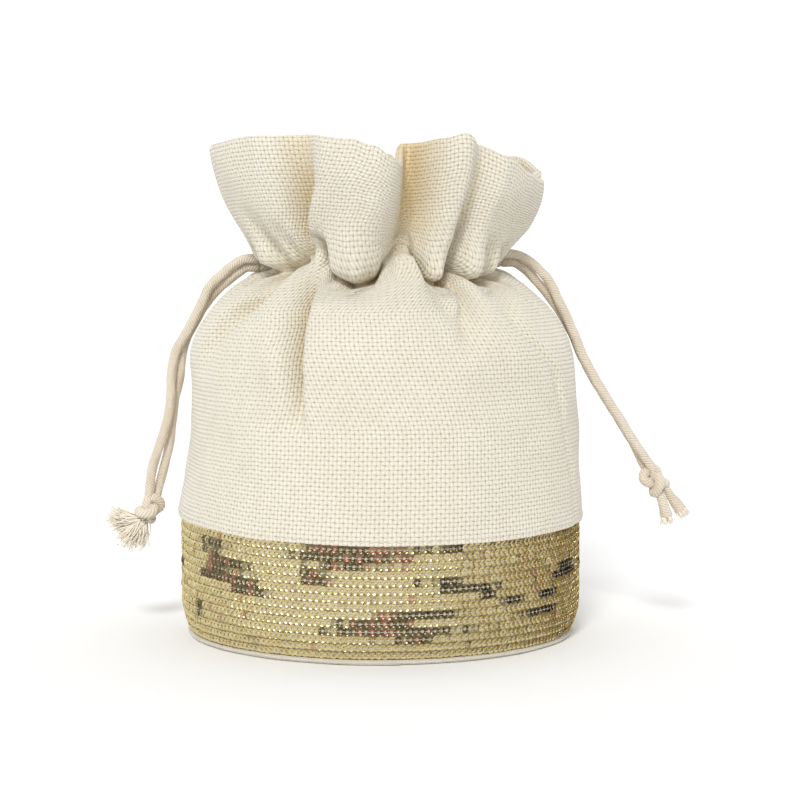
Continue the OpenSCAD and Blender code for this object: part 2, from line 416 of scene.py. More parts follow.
def basket_weave(nodes, u, v, cell):
    """Height of a weave of over-and-under cells, and how near a point is to an open hole."""
    wobble = (nodes.noise(nodes.vector(u, v), 160) - 0.5) * 0.5
    x = u / cell + wobble
    y = v / cell - wobble
    cells = nodes.math("FLOOR", x) + nodes.math("FLOOR", y)
    odd = nodes.math("ROUND", nodes.math("FRACT", cells * 0.5))
    wave_x = nodes.math("SINE", nodes.math("FRACT", x) * math.pi)
    wave_y = nodes.math("SINE", nodes.math("FRACT", y) * math.pi)
    weft = wave_y ** 0.6 * nodes.math("MULTIPLY_ADD", wave_x, 0.5, 0.5)
    warp = wave_x ** 0.6 * nodes.math("MULTIPLY_ADD", wave_y, 0.5, 0.5)
    height = odd * warp + (1.0 - odd) * weft
    hole_x = nodes.math("ABSOLUTE", nodes.math("FRACT", (x + y) * 0.5) - 0.5)
    hole_y = nodes.math("ABSOLUTE", nodes.math("FRACT", (x - y) * 0.5) - 0.5)
    hole = nodes.fit(hole_x ** 2.0 + hole_y ** 2.0, 0.003, 0.019, 1.0, 0.0)
    return height, hole


def woven_material(name, cell, colors, depth, fuzz=0.35, fold_shade_color=None):
    """Cotton cloth: yarns over and under, slubs and a soft fuzz, with painted shade in the gaps and
    on the sunken yarns. The attribute "fold" mixes in a warm painted shade deep in the folds."""
    light, shade, gap = colors
    nodes = Nodes(name)
    u, v = nodes.uv("cloth")
    height, hole = basket_weave(nodes, u, v, cell)
    fibres = nodes.noise(nodes.vector(u, v), 5200, 3.0)
    slubs = nodes.noise(nodes.vector(u * 3.0, v), 90, 3.0)
    clouds = nodes.noise(nodes.vector(u, v), 22)
    color = nodes.mix(nodes.fit(slubs * 0.6 + clouds * 0.5, 0.35, 0.75), shade, light)
    # Painted shade: the attribute "fold" mixes in a warm, darker colour where the cloth lies deep in
    # a fold.
    if fold_shade_color:
        color = nodes.mix(nodes.attribute("fold"), color, fold_shade_color)
    # Painted shade: the sunken yarns and the open holes of the weave are darkened towards the gap
    # colour.
    low = nodes.fit(height, 0.15, 0.75, 1.0, 0.0)
    color = nodes.mix(low * 0.30, color, gap)
    color = nodes.mix(hole * 0.6, color, [c * 0.8 for c in gap])
    nodes.shader.inputs["Sheen Roughness"].default_value = 0.6
    coarse = nodes.bump(height - hole * 0.8, depth)
    fine = nodes.bump(fibres, depth * 0.16, 0.7, coarse)
    return nodes.finish(color, 0.92, fine, fuzz)


def knitted_material(name, light, shade):
    """Soft cotton cord: slanted knitted ridges with loose fibres, and painted shade in the grooves
    between the ridges.
    """
    nodes = Nodes(name)
    u, v = nodes.uv("cord")
    slant = u / (2.1 * MM) + v / (1.15 * MM)
    ridge = nodes.math("ABSOLUTE", nodes.math("FRACT", slant) - 0.5)
    ridge = nodes.math("SINE", ridge * math.pi) ** 0.7
    fibres = nodes.noise(nodes.place(), 2600, 4.0)
    patches = nodes.noise(nodes.place(), 140)
    color = nodes.mix(nodes.fit(patches, 0.35, 0.7), shade, light)
    # Painted shade: the grooves between the knitted ridges are darkened.
    color = nodes.mix(nodes.fit(ridge, 0.0, 0.7, 1.0, 0.0) * 0.35, color, [c * 0.62 for c in shade])
    coarse = nodes.bump(ridge, 0.25 * MM)
    return nodes.finish(color, 0.95, nodes.bump(fibres, 0.12 * MM, 0.8, coarse), 0.4)


def thread_material(name, light, shade):
    """Twisted cotton yarn: fine fibres and an uneven tone."""
    nodes = Nodes(name)
    fibres = nodes.noise(nodes.place(), 3800, 3.0)
    patches = nodes.noise(nodes.place(), 320)
    color = nodes.mix(nodes.fit(patches, 0.3, 0.7), shade, light)
    return nodes.finish(color, 0.9, nodes.bump(fibres, 0.1 * MM, 0.7), 0.4)


def sequin_material():
    """Metallised film: pale gold, with painted reflections on some discs in dark olive brown and in
    copper.
    """
    nodes = Nodes("gold_sequin")
    streaks = nodes.noise(nodes.place(), 700)
    gold = nodes.mix(nodes.fit(streaks, 0.35, 0.7), *GOLD_COLORS)
    # Painted reflection: discs that mirror dark surroundings are coloured dark brown, and some of
    # them copper.
    dark_reflection_color = nodes.mix(nodes.fit(streaks, 0.3, 0.7), *DARK_REFLECTION_COLORS)
    color = nodes.mix(nodes.attribute("tilt_and_painted_reflection"), gold, dark_reflection_color)
    color = nodes.mix(nodes.attribute("painted_copper_reflection"), color, COPPER_REFLECTION_COLOR)
    nodes.shader.inputs["Metallic"].default_value = 0.9
    nodes.shader.inputs["Coat Weight"].default_value = 0.3
    nodes.shader.inputs["Coat Roughness"].default_value = 0.15
    roughness = nodes.fit(streaks, 0.3, 0.7, 0.2, 0.38)
    return nodes.finish(color, roughness, nodes.bump(streaks, 0.05 * MM, 0.5))


# Colours of each cloth: its light yarns, its darker yarns, and the gap colour, painted shade in the
# gaps and on the sunken yarns between them.
CANVAS_COLORS = [(0.840, 0.795, 0.670), (0.785, 0.730, 0.590), (0.640, 0.520, 0.330)]
# Painted shade: the warm, darker colour mixed in deep in the canvas's folds.
CANVAS_FOLD_SHADE = (0.800, 0.640, 0.360)
CORD_LIGHT = (0.820, 0.735, 0.610)
CORD_SHADE = (0.730, 0.630, 0.495)
THREAD_LIGHT = (0.80, 0.75, 0.65)
THREAD_SHADE = (0.66, 0.60, 0.49)
YARN_LIGHT = (0.95, 0.90, 0.78)
YARN_SHADE = (0.90, 0.82, 0.66)
GOLD_COLORS = [(0.61, 0.49, 0.21), (0.79, 0.69, 0.38)]
# Painted reflection colours: dark brown and copper for discs that mirror their surroundings.
DARK_REFLECTION_COLORS = [(0.050, 0.038, 0.014), (0.20, 0.155, 0.065)]
COPPER_REFLECTION_COLOR = (0.46, 0.17, 0.10)
LINING_COLORS = [(0.72, 0.66, 0.54), (0.64, 0.58, 0.46), (0.50, 0.43, 0.31)]
NET_COLORS = [(0.84, 0.77, 0.60), (0.78, 0.70, 0.52), (0.60, 0.51, 0.35)]
TAPE_COLORS = [(0.80, 0.745, 0.63), (0.72, 0.665, 0.54), (0.56, 0.49, 0.36)]


# ---------------------------------------------------------------- cords

# The routes of part.scad, in millimetres.
LEFT_FRONT = [
    (-54.8, -1.4, 153.5), (-58, -1.4, 152.4), (-61.6, -1.5, 150), (-67.5, -1.6, 145),
    (-70.8, -1.8, 141), (-73.6, -2, 135), (-76.6, -2, 129), (-81, -1.9, 121),
    (-84.6, -1.8, 114.5), (-86.2, -1.9, 104.5), (-86.6, -2.2, 94), (-89, -2, 83),
    (-92, -1.7, 74.5), (-94.4, -1.6, 66.5), (-95.6, -1.4, 57), (-96, -1.2, 52),
]
LEFT_REAR = [
    (-54.8, 1.4, 150), (-57.6, 1.4, 148.6), (-60.6, 1.4, 146.4), (-64.5, 1.6, 143.2),
    (-68, 1.8, 140), (-72.4, 2.2, 134.5), (-76.4, 2.2, 128), (-80, 2.2, 121),
    (-82, 2, 114.5), (-83.2, 1.9, 104.5), (-85.2, 2, 95.5), (-86.4, 2, 86),
    (-87.6, 2.2, 77), (-89.8, 2, 67.5), (-92.6, 1.6, 57), (-94, 1.2, 52),
]
RIGHT_FRONT = [
    (54.8, -1.4, 155.4), (58.5, -1.5, 154), (62, -1.6, 151.8), (65.6, -1.8, 148.5),
    (68.4, -2, 145.4), (71, -2.1, 141), (73.8, -2.1, 135), (76.8, -2.1, 129),
    (79.8, -2.1, 122), (82.4, -2.1, 115.5), (85.6, -2.1, 109), (90, -2.1, 101.4),
    (94, -2.1, 94.8), (98.5, -2.1, 88), (102.6, -2.1, 81.2), (107, -2.1, 74.6),
    (111.8, -1.9, 67.6), (113.4, -1.4, 63),
]
RIGHT_REAR = [
    (54.8, 1.4, 151.9), (59, 1.4, 149.6), (62, 1.4, 146.8), (64.6, 1.5, 143.8),
    (67.6, 1.8, 140.5), (72.2, 2.1, 134.4), (76.4, 2.1, 128), (80, 2.1, 121),
    (82.6, 2.1, 114.5), (85.6, 2.1, 108.5), (90, 2.1, 101), (94, 2.1, 94.6),
    (98.4, 2.1, 87.8), (102.4, 2.1, 81.2), (106, 2.1, 75), (109, 1.9, 68.6),
    (111.4, 1.4, 64.2),
]
STRANDS = {
    "left_strand_front": LEFT_FRONT,
    "left_strand_rear": LEFT_REAR,
    "right_strand_front": RIGHT_FRONT,
    "right_strand_rear": RIGHT_REAR,
}
# How far a strand reaches into the neck, and the step between the points of its line.
CORD_INSIDE = 6 * MM
CORD_STEP = 0.35 * MM


def add_strand(name, route, material):
    """One hanging strand. It starts just inside the neck and bends where it comes out."""
    side = name.split("_")[0]
    out = np.array(route) * MM
    inward = -np.sign(out[0][0])
    start = out[0] + np.array([inward * CORD_INSIDE, 0, 0])
    line = smooth_line(np.vstack([start, out]), CORD_STEP)
    piece = braided_tube(name + "_cord", line, CORD_R, seed=len(name))
    dress(piece, material, "cord", None, name)
    side + "_pull"
    side + "_tail"
    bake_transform(piece)


# Each knot's size, its shift in mm from the middle of its CAD ball, and the direction down its tail.
KNOT_SIZES = {"left": 1.58 * MM, "right": 1.72 * MM}
KNOT_SHIFTS = {"left": (0.6, 0, 1.1), "right": (-0.2, 0, 1.6)}
KNOT_DOWN = {"left": (-9, 0, -12), "right": (9, 0, -12)}
KNOT_CORD_R = 2.25 * MM
# The middle of the tuft's root and the line of its tips, in mm.
TUFT_ROOT = (-98.8, 0, 45.5)
TUFT_YARNS = 260
TUFT_TIPS = [(-111.0, 0.5, 50.5), (-113.0, -1.5, 45.5), (-109.5, 2.5, 39.5), (-106.0, -3.0, 35.5),
             (-101.5, 1.0, 34.0), (-97.5, -1.0, 35.0)]


def knot_line(middle, down, across, size):
    """A tight overhand knot: one line that winds through itself, lined up with its cord."""
    t = np.linspace(0, FULL_TURN, 150)
    x = np.sin(t) + 2 * np.sin(2 * t)
    y = np.cos(t) - 2 * np.cos(2 * t)
    z = -np.sin(3 * t)
    down = np.array(down) / np.linalg.norm(down)
    across = np.array(across) - down * np.dot(across, down)
    across /= np.linalg.norm(across)
    side = np.cross(down, across)
    line = x[:, None] * across * 0.92 + y[:, None] * down + z[:, None] * side * 1.52
    return np.array(middle) + size * line


def add_knot(side, material):
    """The overhand knot that joins the two strands of one side."""
    name = f"{side}_overhand_knot"
    middle = box_middle(f"{side}_knot") + np.array(KNOT_SHIFTS[side]) * MM
    line = knot_line(middle, KNOT_DOWN[side], (0.25, 1, 0), KNOT_SIZES[side])
    piece = braided_tube(name, smooth_line(line, 0.4 * MM), KNOT_CORD_R, seed=len(name) + 3)
    dress(piece, material, "cord", f"{side}_tail", f"{side}_knot")
    return piece


def yarn_tubes(spines, radii, sides=5):
    """Vertices and faces of many thin tapered yarns."""
    vertices, faces = [], []
    turn = FULL_TURN * np.arange(sides) / sides
    for spine, radius in zip(spines, radii):
        _, normals, others = frames_along(spine)
        taper = radius * (1 - 0.55 * np.linspace(0, 1, len(spine)) ** 2)
        ring = ring_directions(turn, normals, others)
        faces += tube_faces(len(spine), sides, len(vertices))
        vertices.extend((spine[:, None] + taper[:, None, None] * ring).reshape(-1, 3))
    return vertices, faces


def add_tuft(material):
    """The bushy left end: loose yarns that fan out from under the knot."""
    rng = np.random.default_rng(RNG_SEED + 200)
    root = np.array(TUFT_ROOT) * MM
    tips = np.array(TUFT_TIPS) * MM
    spines, radii = [], []
    for _ in range(TUFT_YARNS):
        at = rng.uniform(0, len(tips) - 1.001)
        tip = tips[int(at)] + (tips[int(at) + 1] - tips[int(at)]) * (at % 1)
        tip = root + (tip - root) * rng.uniform(0.72, 1.03) + rng.normal(0, 1.1 * MM, 3) * [1, 1.9, 1]
        start = root + rng.normal(0, 1.0 * MM, 3)
        middle = (start + tip) / 2 + rng.normal(0, 0.7 * MM, 3)
        curl = tip + rng.normal(0, 0.6 * MM, 3)
        spines.append(smooth_line([start, middle, tip, curl], 0.75 * MM))
        radii.append(rng.uniform(0.20, 0.36) * MM)
    vertices, faces = yarn_tubes(spines, radii)
    piece = new_object("left_tuft", vertices, faces)
    dress(piece, material, "tassel", "left_tail", "left_tassel")
    return [piece]


# The two right ends, in mm from the knot down, and the loose yarns at each rim.
RIGHT_STUBS = [
    [(115.2, -1.6, 58.0), (116.8, -2.2, 52.5), (117.9, -2.2, 48.4), (118.5, -2.2, 45.2)],
    [(116.8, 1.4, 60.0), (120.2, 1.8, 55.4), (123.3, 1.4, 51.2), (125.6, 1.2, 47.6)],
]
STUB_YARNS = 90
STUB_FLARE = 0.42


def add_stubs(cord, yarn):
    """The two blunt right ends, a little splayed, with frayed rims."""
    rng = np.random.default_rng(RNG_SEED + 300)
    spines, radii, pieces = [], [], []
    for i, stub in enumerate(RIGHT_STUBS):
        line = smooth_line(np.array(stub) * MM, CORD_STEP)
        piece = braided_tube(f"right_stub_{i + 1}", line[:-3], CORD_R, flare=STUB_FLARE, seed=70 + i)
        dress(piece, cord, "tassel", "right_tail")
        pieces.append(piece)
        end = line[-1]
        along = (line[-1] - line[-6]) / np.linalg.norm(line[-1] - line[-6])
        for _ in range(STUB_YARNS):
            off = rng.normal(0, 1, 3)
            off -= along * np.dot(off, along)
            off *= rng.uniform(0.2, 1) / np.linalg.norm(off)
            start = end - along * 2.6 * MM + off * 2.1 * MM
            tip = end + along * rng.uniform(-0.3, 1.5) * MM + off * rng.uniform(2.5, 3.5) * MM
            middle = (start + tip) / 2 + off * 0.2 * MM
            spines.append(smooth_line([start, middle, tip], 0.6 * MM))
            radii.append(rng.uniform(0.15, 0.27) * MM)
    vertices, faces = yarn_tubes(spines, radii)
    piece = new_object("right_fray", vertices, faces)
    dress(piece, yarn, "tassel", "right_tail", "right_tassel")
    return pieces + [piece]


# Inside the neck: the cord's radius where the channel squeezes it, how far out its ends reach from
# the axis, the radius of its long run, and half the angle that the run leaves open at its slit.
SQUEEZED_R = 1.9 * MM
LEAD_REACH = (37.2 * MM, 50.2 * MM)
RUN_R = 34.9 * MM
RUN_HALF_GAP = math.radians(14)


def add_inner_cords(material):
    """The parts of the cords inside the neck: the two ends of each pair, and the long runs."""
    for side, sign in (("left", -1), ("right", 1)):
        for end in ("front", "rear"):
            _, y, z = np.array(STRANDS[f"{side}_strand_{end}"][0]) * MM
            line = np.array([[sign * x, y, z] for x in np.linspace(*LEAD_REACH, 40)])
            piece = braided_tube(f"{side}_lead_{end}", line, SQUEEZED_R, seed=80)
            dress(piece, material, "cord", f"{side}_pull", f"{side}_cord_lead")
        z = box_middle(f"{side}_cord_run")[2]
        slit = sign * QUARTER_TURN
        turn = np.linspace(slit + RUN_HALF_GAP, slit + FULL_TURN - RUN_HALF_GAP, 620)
        reach = RUN_R + 0.25 * MM * np.sin(9 * turn)
        line = around_axis(reach, turn, z)
        piece = braided_tube(f"{side}_run", line, SQUEEZED_R, sides=16, seed=90)
        dress(piece, material, "cord", "sack", f"{side}_cord_run")


def add_cords():
    """Both cords: knots and frayed ends first, then the strands."""
    material = knitted_material("knitted_cord", CORD_LIGHT, CORD_SHADE)
    yarn = thread_material("frayed_yarn", YARN_LIGHT, YARN_SHADE)
    ends = {"left": [add_knot("left", material)] + add_tuft(yarn)}
    ends["right"] = [add_knot("right", material)] + add_stubs(material, yarn)
    for name, route in STRANDS.items():
        add_strand(name, route, material)
    add_inner_cords(material)


# ---------------------------------------------------------------- the shape of the gathered cloth

# Outline of the full sack, as part.scad draws it: outer radius at a height.
SHOULDER_Z = 107 * MM
SHOULDER_R = HEM_R - 3.4 * MM
NECK_R = 50 * MM
NECK_HALF = 2 * MM
RIM_R = 70 * MM
CANVAS_T = 1.2 * MM
CANVAS_CELL = 1.68 * MM
CLOTH_ROUND = FULL_TURN * (HEM_R - CANVAS_T / 2)
PANEL_WIDTH = CLOTH_ROUND / 2
FINE_ANGLES = 3600
PANEL_COLUMNS = 300

# Valleys of the cloth: points of (height in mm, angle in degrees, depth in mm, half width in
# mm). Angles are 0 at the front and positive to the right. The numbers before the points say
# how far the lips close over the valley, and how much wider the left bank is than the right.
VALLEYS = [
    # In the ruffle, front.
    (0.2, 1.0, [(206, -29, 9, 12), (183, -31, 17, 9), (170, -35, 15, 6), (161, -36, 10, 4),
                (150, -37, 3, 3), (142, -37, 0, 3)]),
    (0.14, 1.0, [(206, 15, 30, 11.5), (175, 14.5, 23, 11.5), (161, 13, 13.5, 10.5),
                 (152, 12, 5, 8), (142, 11, 0, 6)]),
    (0.2, 1.0, [(206, 38.5, 6, 6), (190, 38.5, 8, 5.4), (168, 38, 11, 4.8), (159, 37, 10, 3.8),
                (143, 33.5, 9, 3.2), (130, 29, 5, 4.4), (116, 28, 0, 6)]),
    # In the ruffle, sides and back.
    (0.2, 1.0, [(206, 92, 5, 10), (180, 92, 8, 7), (160, 90, 9, 4), (140, 90, 5, 4),
                (124, 90, 0, 5)]),
    (0.2, 1.0, [(206, -88, 2, 8), (175, -88, 6, 6), (160, -88, 9, 4), (140, -90, 5, 4),
                (124, -90, 0, 5)]),
    (0.4, 1.0, [(206, 128, 20, 12), (178, 127, 16, 9), (160, 125, 11, 5), (140, 124, 6, 5),
                (112, 122, 0, 6)]),
    (0.4, 1.0, [(206, 172, 22, 13), (178, 171, 17, 9), (160, 170, 11, 5), (140, 168, 7, 5),
                (104, 166, 0, 6)]),
    (0.4, 1.0, [(206, -132, 21, 13), (178, -131, 16, 9), (160, -129, 11, 5), (140, -127, 6, 5),
                (108, -125, 0, 6)]),
    # Pinches at the neck.
    (0.1, 1.0, [(176, -62, 0, 5), (162, -56, 6, 4), (151, -53, 8, 3), (140, -52, 4, 3),
                (126, -52, 0, 4)]),
    (0.1, 1.0, [(170, -47, 0, 4), (160, -45, 6, 3), (150, -44, 7, 2.6), (139, -47, 6.5, 4.4),
                (133, -52, 7, 6), (120, -59, 5, 7.5), (104, -65, 0, 9)]),
    (0.1, 1.0, [(168, -75, 0, 4), (158, -73, 7, 3.4), (146, -72, 5, 3), (128, -74, 0, 5)]),
    (0.1, 1.0, [(164, -25, 0, 3), (156, -24.5, 6, 2.6), (148, -24, 7, 2.4), (141, -24, 3, 2.4),
                (135, -24, 0, 3)]),
    (0.1, 1.0, [(160, -4, 0, 3), (152, -4, 5, 3), (143, -5, 4, 3), (134, -6, 0, 4)]),
    (0.1, 1.0, [(162, -68, 0, 2), (154, -67, 5, 2), (147, -66, 4, 2), (140, -66, 0, 2)]),
    (0.1, 1.0, [(166, -51, 0, 2), (156, -50, 5, 2), (149, -49, 4, 2), (141, -50, 0, 2)]),
    (0.1, 1.0, [(164, 31, 0, 2), (155, 31, 5, 2), (148, 30, 5, 2), (141, 30, 0, 2)]),
    (0.1, 1.0, [(165, 58, 0, 2), (156, 58, 5, 2), (149, 57, 5, 2), (142, 57, 0, 2)]),
    (0.1, 1.0, [(160, -13, 0, 2), (152, -14, 3.4, 2), (146, -14, 3, 2), (141, -14, 0, 2)]),
    (0.1, 1.0, [(158, 20, 0, 3), (151, 20.5, 7, 2.6), (142, 21, 5, 2.8), (132, 24, 3, 4),
                (118, 28, 0, 6)]),
    (0.1, 1.0, [(170, 53, 0, 4), (160, 53, 6, 3), (150, 52, 7, 2.6), (140, 51, 3, 3),
                (130, 50, 0, 4)]),
    (0.1, 1.0, [(168, 68, 0, 4), (158, 67, 6, 3), (148, 66, 6, 3), (132, 68, 2, 4),
                (120, 70, 0, 5)]),
    (0.1, 1.0, [(174, 108, 0, 5), (158, 107, 8, 3.4), (142, 107, 4, 4), (122, 108, 0, 6)]),
    (0.1, 1.0, [(174, 148, 0, 5), (158, 147, 8, 3.4), (142, 146, 5, 4), (118, 144, 0, 6)]),
    (0.1, 1.0, [(174, -110, 0, 5), (158, -109, 8, 3.4), (142, -108, 4, 4), (122, -108, 0, 6)]),
    (0.1, 1.0, [(174, -152, 0, 5), (158, -151, 8, 3.4), (142, -150, 5, 4), (114, -147, 0, 6)]),
    (0.1, 1.0, [(170, -171, 0, 5), (158, -171, 7, 3), (142, -172, 4, 4), (124, -174, 0, 6)]),
    # Down the shoulder and side.
    (0.35, 2.1, [(152, -30, 0, 3), (143, -28, 9, 3.4), (134, -25.5, 15, 4.6), (122, -23.8, 15, 4.6),
                 (108, -22.8, 11, 3.6), (99, -22.3, 7, 2.8), (86, -22, 0, 2.2)]),
    (0.0, 1.0, [(146, 41, 0, 4), (140, 44, 3, 4), (126, 48, 3.2, 4), (108, 61, 2.4, 3.4),
                (84, 66, 1.4, 3), (54, 70, 0.8, 3), (46, 71, 0.5, 3)]),
]

# Swellings of the cloth, in the same form, with how far they stand out for a depth.
SWELLINGS = [
    (0, 1.0, [(206, -1, 2, 14), (180, -4, 4, 11), (164, -10, 5, 9), (154, -13, 5, 9),
              (146, -14, 4, 9), (138, -14, 0, 9)]),
    (0, 1.0, [(164, -64, 0, 9), (155, -63, 3, 8), (147, -63, 0, 8)]),
    (0, 1.0, [(160, 27, 0, 4), (152, 26, 4, 4), (144, 26, 3, 4), (139, 26, 0, 4)]),
    (0, 1.0, [(168, 47, 0, 6), (156, 46, 4, 5), (147, 46, 3.4, 5), (141, 46, 0, 5)]),
    (0, 1.0, [(164, 60, 0, 5), (154, 60, 3.4, 4.4), (146, 60, 2.4, 4), (140, 60, 0, 5)]),
    (0, 1.0, [(150, -36, 0, 9), (138, -35, 3.2, 9), (120, -31, 3, 8), (104, -28, 1.4, 7),
              (94, -27, 0, 7)]),
    (0, 1.0, [(150, 8, 0, 14), (142, 4, 4, 14), (128, 0, 3.4, 20), (108, -2, 0, 24)]),
    (0, 1.0, [(150, -58, 0, 9), (141, -59, 3, 9), (126, -66, 2, 12), (110, -70, 0, 12)]),
    (0, 1.0, [(148, 36, 0, 7), (138, 38, 3, 8), (122, 42, 2.4, 10), (106, 48, 0, 12)]),
    (0, 1.0, [(206, 78, -3.5, 22), (190, 76, -2, 20), (172, 70, 0, 14)]),
    (0, 1.0, [(49, -88, 0, 40), (62, -88, -2, 40), (80, -88, -3.4, 40), (102, -88, -3.2, 40),
              (116, -88, -1.4, 36), (128, -86, 0, 30)]),
]

# Height of the rim by angle, in degrees and mm.
RIM_HEIGHTS = [
    (-180, 197.5), (-155, 198.5), (-132, 194.5), (-110, 198), (-88, 196), (-70, 198), (-46, 199.5),
    (-24, 199.5), (-9, 197.5), (-3, 195), (3, 190.5), (6.5, 189), (10, 195), (14, 197.5),
    (20, 197.5), (25, 198.5), (30, 200), (38, 196), (47, 191.5), (60, 186.5), (75, 184),
    (88, 184), (104, 189), (118, 195.5), (128, 200), (150, 198.5), (172, 194.5), (180, 197.5),
]
# Height of the tie line by angle, in degrees and mm.
TIE_HEIGHTS = [
    (-180, 151), (-160, 148), (-140, 153), (-120, 149), (-98, 152), (-85, 151), (-75, 149),
    (-60, 149), (-48, 150), (-38, 154), (-30, 158.5), (-25, 156), (-20, 147), (-12, 144),
    (-3, 146), (3, 153), (8, 158), (15, 158.5), (20, 150), (25, 144.5), (30, 145), (34, 149),
    (38, 151), (45, 145.5), (55, 145), (66, 148), (80, 151), (98, 152), (120, 149), (140, 153),
    (160, 148), (180, 151),
]
# How deep the tie line cuts in, by angle, in degrees and mm.
TIE_DEPTHS = [
    (-180, 7), (-90, 6), (-60, 7), (-38, 5), (-30, 2), (-22, 6), (-12, 9), (-3, 8), (4, 4),
    (11, 1), (18, 4), (25, 9), (34, 6), (46, 9), (60, 8), (75, 6), (90, 6), (180, 7),
]
TIE_HALF = 3.0 * MM
# How far the hem and the sequin rows rise from level, by angle, in degrees and mm.
HEM_LIFTS = [
    (-180, 2.6), (-120, 3.4), (-90, 3.8), (-60, 2.6), (-30, 0.7), (0, 0), (30, 0.1), (60, 0.9),
    (90, 1.8), (130, 2.2), (180, 2.6),
]
# The folds reach no deeper than the cord that they are gathered on.
FOLD_FLOOR_R = 39.5 * MM
SLIT_LEFT_Z = 151.8 * MM
SLIT_RIGHT_Z = 153.7 * MM


def smoothstep(x):
    """A soft step from 0 to 1 as x goes from 0 to 1."""
    x = np.clip(x, 0, 1)
    return x * x * (3 - 2 * x)


def bell(x):
    """A smooth bump that is 1 at 0."""
    return np.exp(-x * x)


def outline_radius(z):
    """Outer radius of the full sack at a height, before any fold."""
    low, high = NECK_Z - NECK_HALF, NECK_Z + NECK_HALF
    side = HEM_R - (HEM_R - SHOULDER_R) * (z - HEM_Z) / (SHOULDER_Z - HEM_Z)
    drop = np.clip((z - SHOULDER_Z) / (low - SHOULDER_Z), 0, 1) ** 2.1
    shoulder = NECK_R + (SHOULDER_R - NECK_R) * (1 - drop)
    rise = 1 - (1 - np.clip((z - high) / (RIM_Z - high), 0, 1)) ** 1.5
    ruffle = NECK_R + (RIM_R - NECK_R) * rise
    return np.where(z < SHOULDER_Z, side, np.where(z < low, shoulder, ruffle))


def table_at(table, degrees):
    """Smooth value of a table of (degrees, value) that goes once round."""
    at = np.array([row[0] for row in table], float)
    values = np.array([row[1] for row in table], float)
    folded = (degrees + 180) % 360 - 180
    index = np.clip(np.searchsorted(at, folded, side="right") - 1, 0, len(at) - 2)
    t = smoothstep((folded - at[index]) / (at[index + 1] - at[index]))
    return values[index] + (values[index + 1] - values[index]) * t


def hem_lift(degrees):
    """How far the hem and the sequin rows rise from level at an angle."""
    return table_at(HEM_LIFTS, degrees) * MM


def fold_at(fold, degrees, z, radius):
    """One fold at one height: how far in it reaches and how far it draws the cloth along."""
    pull, left_bank, points = fold
    points = sorted(points)
    at = np.array([p[0] for p in points]) * MM
    if z < at[0] or z > at[-1]:
        return 0.0, 0.0
    middle = np.interp(z, at, [p[1] for p in points])
    depth = np.interp(z, at, [p[2] for p in points]) * MM
    width = np.interp(z, at, [p[3] for p in points]) * MM
    away = np.radians((degrees - middle + 180) % 360 - 180) * radius
    x = away / np.where(away < 0, width * left_bank, width)
    flat = np.exp(-np.abs(x) ** 2.6)
    return depth * flat, -pull * depth * x * bell(x / 1.5)


def slow_noise(u, v, size, seed):
    """A gentle random wave over the cloth that joins up all the way round."""
    rng = np.random.default_rng(RNG_SEED + seed)
    total = 0
    for _ in range(16):
        around = rng.integers(2, max(3, int(CLOTH_ROUND / size)))
        up = rng.normal(0, 1 / size)
        phase = rng.uniform(0, FULL_TURN)
        total = total + np.cos(around * u + FULL_TURN * up * v + phase)
    return total / 4


def cloth_rows():
    """Lengths up the cloth, from the hem, with finer rows near the tie line."""
    fine_z = np.linspace(HEM_Z, RIM_Z, 2000)
    steps = np.hypot(np.diff(fine_z), np.diff(outline_radius(fine_z)))
    along = np.concatenate([[0], np.cumsum(steps)])
    tie = np.interp(NECK_Z, fine_z, along)
    spacing = (1.5 - 0.85 * bell((along - tie) / (14 * MM))) * MM
    count = np.concatenate([[0], np.cumsum(np.diff(along) / spacing[1:])])
    rows = int(round(count[-1])) + 1
    lengths = np.interp(np.linspace(0, count[-1], rows), count, along)
    return lengths, np.interp(lengths, along, fine_z), tie


def cloth_row(z, length, tie):
    """Points of one row at fine angles from the left seam, round the front, to the left seam."""
    degrees = np.linspace(-90, 270, FINE_ANGLES + 1)
    radius = float(outline_radius(z))
    inward = np.zeros_like(degrees)
    along = np.zeros_like(degrees)
    for fold in VALLEYS:
        push, pull = fold_at(fold, degrees, z, radius)
        inward += push
        along += pull
    for fold in SWELLINGS:
        inward -= fold_at(fold, degrees, z, radius)[0]
    off = length - tie
    depth = table_at(TIE_DEPTHS, degrees) * MM
    inward += depth * bell(off / TIE_HALF)
    uneven = 0.5 * MM * slow_noise(np.radians(degrees), length, 34 * MM, 1)
    inward += uneven * min(1, length / (25 * MM))
    reach = radius - inward
    reach = np.where(reach < FOLD_FLOOR_R, FOLD_FLOOR_R - 0.25 * (FOLD_FLOOR_R - reach), reach)
    lift = smoothstep((z - NECK_Z) / (RIM_Z - NECK_Z))
    height = z + (table_at(RIM_HEIGHTS, degrees) * MM - RIM_Z) * lift
    height = height + hem_lift(degrees) * (1 - smoothstep((z - HEM_Z) / (40 * MM)))
    shift = table_at(TIE_HEIGHTS, degrees) * MM - NECK_Z
    height = height + shift * bell(off / (13 * MM))
    sag = np.clip(-shift / (5 * MM), 0, 1.2)
    height = height - 2.6 * MM * sag * bell((off - 4.5 * MM) / (4 * MM))
    return around_axis(reach, np.radians(degrees) + along / radius, height)


def resample(points, count):
    """The same line in a number of equal steps."""
    along = lengths_along(points)
    return points_at(np.linspace(0, along[-1], count + 1), along, points)


